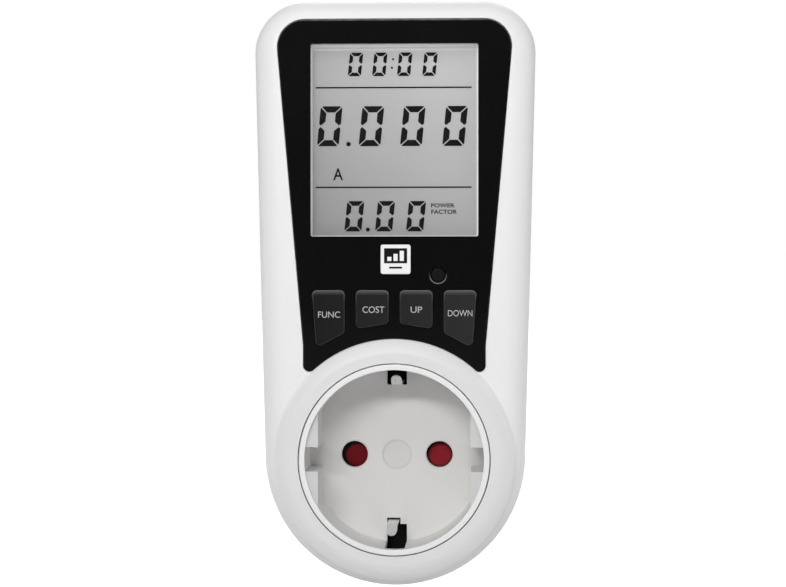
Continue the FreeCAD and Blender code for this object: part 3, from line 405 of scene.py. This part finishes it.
shutter = Finish("shutter_red")
shutter_x = along(shutter, "X")
left_side = ramp(shutter, shutter_x, RIGHT_SIDE, LEFT_SIDE)
lit_x = (shutter_x - LIT_RIGHT) * (1 - left_side) + (shutter_x - LIT_LEFT) * left_side
lit_z = along(shutter, "Z") + LIT_DROP + left_side * LEFT_DROP
# Painted shade of the hole's wall: a dark crescent round a painted lit disc.
shaded = ramp(shutter, reach(lit_x, lit_z), *LIT_EDGE)
red = mixed(shutter, noise(shutter, 2 * MM, 4.0), colour(150, 18, 30), colour(130, 14, 26))
# Painted shade: the left shutter's red is painted deeper.
red = mixed(shutter, left_side * 0.6, red, colour(92, 10, 18))
finishes["shutter_red"] = shutter.surface(
    base_color=mixed(shutter, shaded, red, colour(20, 4, 6)),
    roughness=0.45 + noise(shutter, 1 * MM, 4.0) * 0.1,
    specular=0.12,
    normal=bump(shutter, noise(shutter, 0.4 * MM), GRAIN_DEPTH))
print("lit discs on the shutter, x in mm:", LIT_LEFT / MM, LIT_RIGHT / MM)

# %% [markdown]
# ## The black front panel
# The panel is a glossy black sheet: a deep black with a very low roughness, whose sheen is broken by
# faint handling marks. Along its top edge a painted highlight glints in places, and a painted
# highlight draws the rim of the button's hole as a thin bright line under the button.

# %% Front panel
BUTTON_RIM = (1.98 * MM, 1.82 * MM)
BUTTON_SHARE = (0.5 * MM, -1.2 * MM)
BEVEL_START, BEVEL_END = 0.02 * MM, 0.1 * MM
BEVEL_FOOT, BEVEL_HEAD = 9 * MM, 2 * MM
LINE_FOOT, LINE_HEAD = 0.45 * MM, 0.2 * MM

panel = Finish("fascia_black")
panel_x, panel_y, panel_z = (along(panel, axis) for axis in "XYZ")
rubbed = noise(panel, 9 * MM, 5.0, stretch=(1.0, 1.0, 0.45))
button_low, button_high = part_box("reset_button")
button_across = panel_x - (button_low.x + button_high.x) / 2
button_up = panel_z - (button_low.z + button_high.z) / 2
# Painted highlight: a thin bright line on the lower rim of the button's hole.
button_rim_highlight = ramp(panel, reach(button_across, button_up), *BUTTON_RIM) * ramp(
    panel, button_up, *BUTTON_SHARE)
panel_low, panel_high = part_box("fascia")
# Painted highlight on the top edge's bevel and along the top, broken by noise.
bevel_highlight = ramp(panel, panel_y, panel_low.y + BEVEL_START, panel_low.y + BEVEL_END) * ramp(
    panel, panel_z, panel_high.z - BEVEL_FOOT, panel_high.z - BEVEL_HEAD)
top_edge_highlight = ramp(panel, panel_z, panel_high.z - LINE_FOOT, panel_high.z - LINE_HEAD)
glint = (bevel_highlight.at_least(top_edge_highlight) * noise(panel, 1.5 * MM, 4.0) * 1.6).at_most(1.0)
black = mixed(panel, glint, mixed(panel, rubbed, grey(9), grey(13)), grey(120))
finishes["fascia_black"] = panel.surface(
    base_color=mixed(panel, button_rim_highlight, black, grey(150)),
    roughness=0.06 + rubbed * 0.05,
    specular=0.2,
    normal=bump(panel, noise(panel, 14 * MM), 0.01 * MM))
print("panel's top at z in mm:", round(panel_high.z / MM, 1))

# %% [markdown]
# ## The clear window
# A thin clear sheet covers the display. Nearly all light goes through it, so its alpha is close to
# nothing, and a slow cloud in it stands for the faint smears that a thumb leaves.

# %% Window
window = Finish("window_clear")
finishes["window_clear"] = window.surface(
    base_color=mixed(window, noise(window, 8 * MM), grey(60), grey(40)),
    roughness=0.05 + noise(window, 6 * MM, 4.0) * 0.05,
    alpha=0.02 + noise(window, 18 * MM, 3.0) * 0.01)
print("finishes so far:", len(finishes))

# %% [markdown]
# ## The display's glass
# Seen from the front, an LCD's resting field is a soft silver grey: a polariser film with a matt
# silver film behind it. It is painted darker at the lower left than at the upper right: painted light
# and shade. Under its top edge a bright strip is painted, and made to glow a little: painted light.
# It has a very fine sparkle, which a tiny noise gives. The silver film itself is a plain
# half-metallic grey.

# %% Display glass
FIELD_CORNERS = (30 * MM, 106 * MM)
TOP_STRIP = (88.9 * MM, 89.8 * MM)

field = Finish("lcd_glass")
# Painted light and shade: darker at the lower left, paler at the upper right.
across = ramp(field, along(field, "X") + along(field, "Z"), *FIELD_CORNERS)
sparkle = noise(field, 0.18 * MM)
# Painted light: a bright strip under the top edge, which also glows.
top_strip_light = ramp(field, along(field, "Z"), *TOP_STRIP)
field_grey = mixed(field, top_strip_light, mixed(field, across, grey(147), grey(212)), grey(250))
finishes["lcd_glass"] = field.surface(
    base_color=mixed(field, sparkle * 0.2, field_grey, grey(160)),
    roughness=0.42 + sparkle * 0.1,
    emission_color=mixed(field, top_strip_light, grey(0), grey(80)),
    emission_strength=1.0,
    normal=bump(field, sparkle, 0.001 * MM))

silver = Finish("lcd_grey")
finishes["lcd_grey"] = silver.surface(
    base_color=mixed(silver, noise(silver, 0.2 * MM), grey(170), grey(190)),
    roughness=0.5, metallic=0.4)
print("finishes so far:", len(finishes))


# %% [markdown]
# ## Metals
# Stamped strip and turned pins both carry fine lines along the way they were rolled or turned, so
# their noise is drawn out along one axis. The pins and earth clips are nickel on brass; the clips
# are dull with handling, so only part of their shine is a metal's.


# %% Metals
ALONG_Y = (1.0, 0.06, 1.0)
ROUND_Y = (0.5, 1.0, 0.5)


def rolled(name, tint, roughness, stretch=ALONG_Y, tarnish=0.2, metallic=1.0):
    """A metal whose sheen and height follow a noise drawn out along the rolling direction."""
    finish = Finish(name)
    lines = noise(finish, 0.25 * MM, 3.0, stretch)
    age = noise(finish, 3 * MM, 4.0)
    return finish.surface(
        base_color=mixed(finish, age, tint, shade(tint, 1 - tarnish)),
        metallic=metallic,
        roughness=roughness + lines * 0.12 + age * 0.08,
        normal=bump(finish, lines, 0.004 * MM))


finishes.update({
    "pin_nickel": rolled("pin_nickel", colour(206, 203, 196), 0.16, ROUND_Y, tarnish=0.1),
    "clip_nickel": rolled("clip_nickel", grey(228), 0.2, tarnish=0.12, metallic=0.6),
    "contact_brass": rolled("contact_brass", colour(214, 178, 96), 0.25),
    "screw_steel": rolled("screw_steel", colour(176, 176, 178), 0.3, ROUND_Y),
    "steel_black": rolled("steel_black", grey(40), 0.5),
    "spring_steel": rolled("spring_steel", colour(150, 150, 152), 0.3),
    "can_metal": rolled("can_metal", colour(190, 190, 188), 0.25),
    "shunt_metal": rolled("shunt_metal", colour(186, 140, 100), 0.35),
    "link_gold": rolled("link_gold", colour(226, 184, 90), 0.2),
})
print("finishes so far:", len(finishes))

# %% [markdown]
# ## The circuit boards
# Solder mask is green varnish over copper. A brick pattern at the pitch of the tracks stands for
# them: its bricks are lighter runs over the copper, and its mortar the lower, darker gaps between.

# %% Boards
TRACK_PITCH = 1.27 * MM
TRACK_RUN = 7.1 * MM
TRACK_GAP = 0.28 * MM

board = Finish("board_green")
turned = board.node("ShaderNodeMapping", {}, {
    "Vector": board.place, "Rotation": (math.pi / 2, 0.0, 0.0)})
tracks = board.node("ShaderNodeTexBrick", {"offset": 0.37}, {
    "Vector": turned, "Scale": 1.0, "Mortar Size": TRACK_GAP, "Brick Width": TRACK_RUN,
    "Row Height": TRACK_PITCH}, "Fac")
finishes["board_green"] = board.surface(
    base_color=mixed(board, tracks, colour(30, 104, 62), colour(16, 70, 42)),
    roughness=0.3 + noise(board, 2 * MM) * 0.1,
    normal=bump(board, 1 - tracks, 0.03 * MM))
print("finishes in all:", len(finishes))

# %% [markdown]
# ## Finishes onto parts
# The record names a finish for each part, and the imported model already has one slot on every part,
# so a single loop puts each finish in its place.

# %% Give each part its finish
slot_of = {row["node"]: row["material_slot"] for row in frame["record"]["subparts"]}
for name, node in nodes.items():
    node.material_slots[0].material = finishes[slot_of[name]]
print("finished parts:", len(nodes), " finishes:", len(set(slot_of.values())))

# %% [markdown]
# ## Prints as thin solids
# Ink and display segments are flat figures. Each one is a polygon with corners worked out in the
# plane of the print, given a thickness of a few hundredths of a millimetre so that it is a closed
# solid with a front, a back and an edge. One function turns a list of polygons into one mesh.


# %% Flat figures
def prism_mesh(name, outlines, front, thickness):
    """Each outline (x, z) in mm, anticlockwise from the front, becomes a closed prism:
    its corners at y = front and again at y = front + thickness, with a wall between."""
    points, faces = [], []
    for outline in outlines:
        corners = np.asarray(outline, float)
        count, start = len(corners), sum(len(part) for part in points)
        near = np.column_stack([corners[:, 0], np.full(count, front), corners[:, 1]])
        far = near + (0, thickness, 0)
        points += [near, far]
        ring = np.arange(count)
        after = np.roll(ring, -1)
        walls = np.column_stack([ring, ring + count, after + count, after]) + start
        faces.append((ring + start).tolist())
        faces.append((ring[::-1] + count + start).tolist())
        faces += walls.tolist()
    mesh = bpy.data.meshes.new(name)
    mesh.from_pydata((np.concatenate(points) * MM).tolist(), [], faces)
    mesh.validate()
    return mesh


def add_piece(name, mesh, finish, body):
    """A mesh with its finish becomes a piece that rides on a body."""
    piece = bpy.data.objects.new(name, mesh)
    bpy.context.scene.collection.objects.link(piece)
    mesh.materials.append(finish)
    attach(piece, body)
    print(name, "faces:", len(mesh.polygons), "on", body)


def disc(x, z, radius, count=24):
    """A circle: centre plus radius times (cos, sin) of evenly spaced angles."""
    turn = np.linspace(0, 2 * np.pi, count, endpoint=False)
    return np.column_stack([x + radius * np.cos(turn), z + radius * np.sin(turn)])


def bar(x0, x1, z0, z1):
    """An upright rectangle between two values of x and two of z."""
    return [(x0, z0), (x1, z0), (x1, z1), (x0, z1)]


# %% [markdown]
# ## The digits
# Every digit on the display is a nought made of six segments. A segment is a bar whose ends are cut
# at 45 degrees where two meet, with a fine gap between, and the side segments end in a point at the
# middle, where the seventh segment would be. The digit is drawn upright from (0, 0) to
# (width, height) and then leant: x grows by the lean times z. The display has three rows of digits,
# with a colon in the clock, a decimal point in each of the other two and a rule between the rows.


# %% Segments of a nought
LEAN = 0.1
INK_GAP = 0.01
INK = 0.03


def nought(x, z, width, height, stroke, gap):
    """Top and upper left segments, mirrored left to right and top to bottom, then leant."""
    chip = stroke * 0.12
    top = np.array([
        (stroke + gap, height - stroke), (width - stroke - gap, height - stroke),
        (width - chip - gap, height - chip), (width - 2 * chip - gap, height),
        (2 * chip + gap, height), (chip + gap, height - chip)])
    middle = height / 2 + gap * 1.1
    side = np.array([
        (0, height - 2 * chip - gap), (0, middle + 0.25 * stroke), (0.3 * stroke, middle),
        (stroke, middle + 0.6 * stroke), (stroke, height - stroke - gap),
        (chip, height - chip - gap)])

    def flip_x(shape):
        return (shape * (-1, 1) + (width, 0))[::-1]

    def flip_z(shape):
        return (shape * (1, -1) + (0, height))[::-1]

    shapes = [top, flip_z(top), side, flip_x(side), flip_z(side), flip_z(flip_x(side))]
    return [shape + np.column_stack([LEAN * shape[:, 1], 0 * shape[:, 1]]) + (x, z)
            for shape in shapes]


glass_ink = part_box("lcd_front_glass")[0].y / MM - INK_GAP - INK
clock = {"z": 83.42, "width": 2.89, "height": 5.14, "stroke": 0.78, "gap": 0.13}
reading = {"z": 68.15, "width": 4.76, "height": 8.72, "stroke": 1.35, "gap": 0.17}
factor = {"z": 49.55, "width": 3.74, "height": 6.62, "stroke": 1.04, "gap": 0.15}
digit_rows = ((clock, (-10.27, -4.96, 0.47, 5.98)),
              (reading, (-17.02, -7.91, 1.13, 10.34)),
              (factor, (-11.03, -4.31, 2.45)))
colon = ((-0.37, 87.09, 0.24), (-0.62, 85.24, 0.24))
points = ((-10.1, 68.6, 0.5), (-5.87, 49.95, 0.44))
RULE_HALF = 0.16

figures = [segment for row, places in digit_rows for x in places for segment in nought(x, **row)]
figures += [disc(*dot) for dot in colon + points]
figures += [bar(-17.3, 16.75, z - RULE_HALF, z + RULE_HALF) for z in (80.93, 59.17)]
print("display figures:", len(figures))

# %% [markdown]
# ## Display ink
# A driven segment is not pure black. It is a very dark green-grey with a faint cloud in it, and it
# mirrors hardly anything.

# %% Display ink
ink = Finish("lcd_ink")
ink_finish = ink.surface(
    base_color=mixed(ink, noise(ink, 1.2 * MM), colour(18, 19, 18), colour(28, 30, 28)),
    roughness=0.5 + noise(ink, 0.3 * MM) * 0.1,
    specular=0.05)
add_piece("lcd_segments", prism_mesh("lcd_segments", figures, glass_ink, INK),
          ink_finish, "housing")


# %% [markdown]
# ## Words
# Type starts as a curve. Each word is set in a plain sans face, turned into a mesh, stretched so that
# its capitals have the wanted height and width, and only then put in its place, so that its object
# stays at the origin. A little weight swells the strokes, as ink does.


# %% Setting words
def word_mesh(name, word, centre, size, front, weight=0.0):
    """Type as a mesh: its own box, whose corners are 0 and 1 of a share on each axis, is stretched
    to size (width, height) round centre (x, z), with its front at y = front, all in mm."""
    curve = bpy.data.curves.new(name, "FONT")
    curve.body = word
    curve.extrude = 0.5
    curve.offset = weight
    curve.resolution_u = 6
    setter = bpy.data.objects.new(name, curve)
    bpy.context.scene.collection.objects.link(setter)
    bpy.context.view_layer.update()
    mesh = bpy.data.meshes.new_from_object(setter.evaluated_get(
        bpy.context.evaluated_depsgraph_get()))
    bpy.data.objects.remove(setter)
    points = np.empty(len(mesh.vertices) * 3)
    mesh.vertices.foreach_get("co", points)
    points = points.reshape(-1, 3)
    low, high = points.min(0), points.max(0)
    share = (points - low) / (high - low)
    placed = np.column_stack([
        centre[0] + (share[:, 0] - 0.5) * size[0],
        front + (1 - share[:, 2]) * INK,
        centre[1] + (share[:, 1] - 0.5) * size[1]])
    mesh.vertices.foreach_set("co", (placed * MM).ravel())
    mesh.name = name
    mesh.materials.clear()
    mesh.update()
    return mesh


display_words = {
    "lcd_word_amps": ("A", (-12.38, 62.03), (2.15, 2.6), 0.01),
    "lcd_word_power": ("POWER", (10.5, 55.2), (5.15, 0.9), 0.02),
    "lcd_word_factor": ("FACTOR", (10.77, 53.8), (5.6, 0.95), 0.02),
}
for name, (word, centre, size, weight) in display_words.items():
    add_piece(name, word_mesh(name, word, centre, size, glass_ink, weight),
              ink_finish, "housing")

# %% [markdown]
# ## Legends on the keys
# The keys carry their words in pale pad-printing ink. The ink stands on the key's crown, and rides
# with its key when it is pressed.

# %% Key legends
legend = Finish("legend_ink")
legend_finish = legend.surface(
    base_color=mixed(legend, noise(legend, 0.4 * MM, 3.0), grey(205), grey(150)),
    roughness=0.55)
legends = {
    "func_key": ("FUNC", (-14.09, 31.42), (4.8, 1.35)),
    "cost_key": ("COST", (-4.47, 32.5), (4.75, 1.4)),
    "up_key": ("UP", (4.84, 32.5), (2.5, 1.35)),
    "down_key": ("DOWN", (14.3, 31.74), (5.3, 1.35)),
}
for cap, (word, centre, size) in legends.items():
    name = f"{cap}_legend"
    crown_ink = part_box(cap)[0].y / MM - INK_GAP - INK
    add_piece(name, word_mesh(name, word, centre, size, crown_ink),
              legend_finish, cap)

# %% [markdown]
# ## The sign under the display
# A white tile carries a black panel with three rising bars, the usual sign for consumption, over a
# short rule. The bars are a second, white ink on top of the black one.

# %% Sign
badge_low, badge_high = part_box("badge")
badge_x = (badge_low.x + badge_high.x) / 2 / MM
badge_z = (badge_low.z + badge_high.z) / 2 / MM
badge_ink = badge_low.y / MM - INK_GAP - INK
BAR_HALF = 0.45
BAR_FOOT = -0.35
sign_panel = [bar(badge_x - 2.5, badge_x + 2.5, badge_z - 0.85, badge_z + 2.4),
              bar(badge_x - 1.4, badge_x + 1.4, badge_z - 2.0, badge_z - 1.6)]
sign_bars = [bar(badge_x + x - BAR_HALF, badge_x + x + BAR_HALF,
                 badge_z + BAR_FOOT, badge_z + BAR_FOOT + rise)
             for x, rise in ((-1.35, 0.9), (0.0, 1.55), (1.35, 2.2))]
add_piece("badge_panel", prism_mesh("badge_panel", sign_panel, badge_ink, INK),
          ink_finish, "housing")
add_piece("badge_bars", prism_mesh("badge_bars", sign_bars, badge_ink - INK_GAP - INK, INK),
          finishes["badge_white"], "housing")

# %% [markdown]
# ## The display's painted bright edge
# A painted highlight, a thin pale strip on the display's glass, runs all round the opening, a hair
# wider on the right than on the other sides. It is made to glow a little as well: painted light.

# %% Bright edge
LEFT, RIGHT, FOOT, TOP = -18.2, 18.2, 48.4, 90.2
EDGE = 0.2
EDGE_RIGHT = 0.34
# Painted highlight: thin pale bars round the opening.
edge_highlight_bars = [
    bar(LEFT, LEFT + EDGE, FOOT, TOP),
    bar(RIGHT - EDGE_RIGHT, RIGHT, FOOT, TOP),
    bar(LEFT + EDGE, RIGHT - EDGE_RIGHT, TOP - EDGE, TOP),
    bar(LEFT + EDGE, RIGHT - EDGE_RIGHT, FOOT, FOOT + EDGE),
]
# The strip's finish glows a little: painted light.
film = Finish("painted_edge_highlight")
edge_highlight_finish = film.surface(
    base_color=mixed(film, noise(film, 2 * MM, 4.0), grey(236), grey(222)),
    roughness=0.4 + noise(film, 1 * MM) * 0.1,
    emission_color=grey(100),
    emission_strength=1.0)
add_piece("lcd_painted_edge", prism_mesh("lcd_painted_edge", edge_highlight_bars, glass_ink, INK),
          edge_highlight_finish, "housing")

# %% [markdown]
# ## The studio
# A pale floor and soft light from lamps above, in front, at both sides and behind. The surround
# looks white from the camera, yet it lights the object only dimly, and least from below, so that a
# glossy black panel has little to mirror and stays black. The floor is lit up behind the object in
# the same way, so that it meets the surround without a line.


# %% Floor
FLOOR_HALF = 6.0
FLOOR_DROP = 15 * MM
LIT_BACK = (10 * MM, 76 * MM)


def sheet_mesh(name, half, z):
    """A flat square as a 2 by 2 grid of points, facing up."""
    across = np.array([-half, half])
    x, y = np.meshgrid(across, across)
    points = np.column_stack([x.ravel(), y.ravel(), np.full(4, z)])
    mesh = bpy.data.meshes.new(name)
    mesh.from_pydata(points.tolist(), [], [(0, 1, 3, 2)])
    return mesh


pale = Finish("floor_pale")
lit_back = ramp(pale, along(pale, "Y"), *LIT_BACK)
pale_finish = pale.surface(
    base_color=mixed(pale, noise(pale, 0.5), grey(236), grey(230)),
    roughness=0.9,
    emission_color=mixed(pale, lit_back, grey(0), grey(255)),
    emission_strength=1.05)
floor = bpy.data.objects.new("floor", sheet_mesh("floor", FLOOR_HALF, cad_low.z - FLOOR_DROP))
bpy.context.scene.collection.objects.link(floor)
floor.data.materials.append(pale_finish)
print("floor at z in mm:", round((cad_low.z - FLOOR_DROP) / MM, 1))


# %% Lamps
LIT_POINT = (0.0, -0.02, 0.04)


def lamp(name, place, width, height, power):
    """An area lamp, width by height in metres, at place, pointing at the middle of the meter."""
    made = bpy.data.objects.new(name, bpy.data.lights.new(name, "AREA"))
    made.data.shape = "RECTANGLE"
    made.data.size = width
    made.data.size_y = height
    made.data.energy = power
    made.location = place
    made.rotation_euler = facing(place, LIT_POINT)
    bpy.context.scene.collection.objects.link(made)
    print(name, "watts:", power)


lamp("lamp_key", place=(-0.10, -0.72, 0.29), width=0.38, height=0.06, power=2.1)
lamp("lamp_above", place=(-0.05, -0.48, 0.60), width=0.5, height=0.4, power=1.0)
lamp("lamp_right", place=(0.75, -0.35, 0.20), width=0.5, height=0.5, power=0.65)
lamp("lamp_left", place=(-0.75, -0.50, 0.0), width=0.5, height=0.5, power=0.4)
lamp("lamp_back", place=(0.1, 0.7, 0.6), width=0.6, height=0.6, power=2.0)

# %% [markdown]
# ## The surround
# Its strength is worked out from the direction of a ray: dim for rays that go down, brighter for
# rays that go up, and full for the camera's own rays, which only see a white background.

# %% Surround
GLOW = {"From Min": -0.1, "From Max": 0.8, "To Min": 0.07, "To Max": 0.42}

world = bpy.data.worlds.new("surround")
bpy.context.scene.world = world
world.use_nodes = True
sky, roads = world.node_tree.nodes, world.node_tree.links
background = sky["Background"]
direction = sky.new("ShaderNodeTexCoord")
parts_of = sky.new("ShaderNodeSeparateXYZ")
roads.new(direction.outputs["Generated"], parts_of.inputs[0])
glow = sky.new("ShaderNodeMapRange")
for name, measure in GLOW.items():
    glow.inputs[name].default_value = measure
roads.new(parts_of.outputs["Z"], glow.inputs["Value"])
seen = sky.new("ShaderNodeLightPath")
level = sky.new("ShaderNodeMath")
level.operation = "MAXIMUM"
roads.new(glow.outputs[0], level.inputs[0])
roads.new(seen.outputs["Is Camera Ray"], level.inputs[1])
roads.new(level.outputs[0], background.inputs["Strength"])
background.inputs["Color"].default_value = (1.0, 1.0, 1.0, 1.0)
bpy.context.scene.view_settings.view_transform = "Standard"
print("surround's strength:", GLOW["To Min"], "to", GLOW["To Max"])
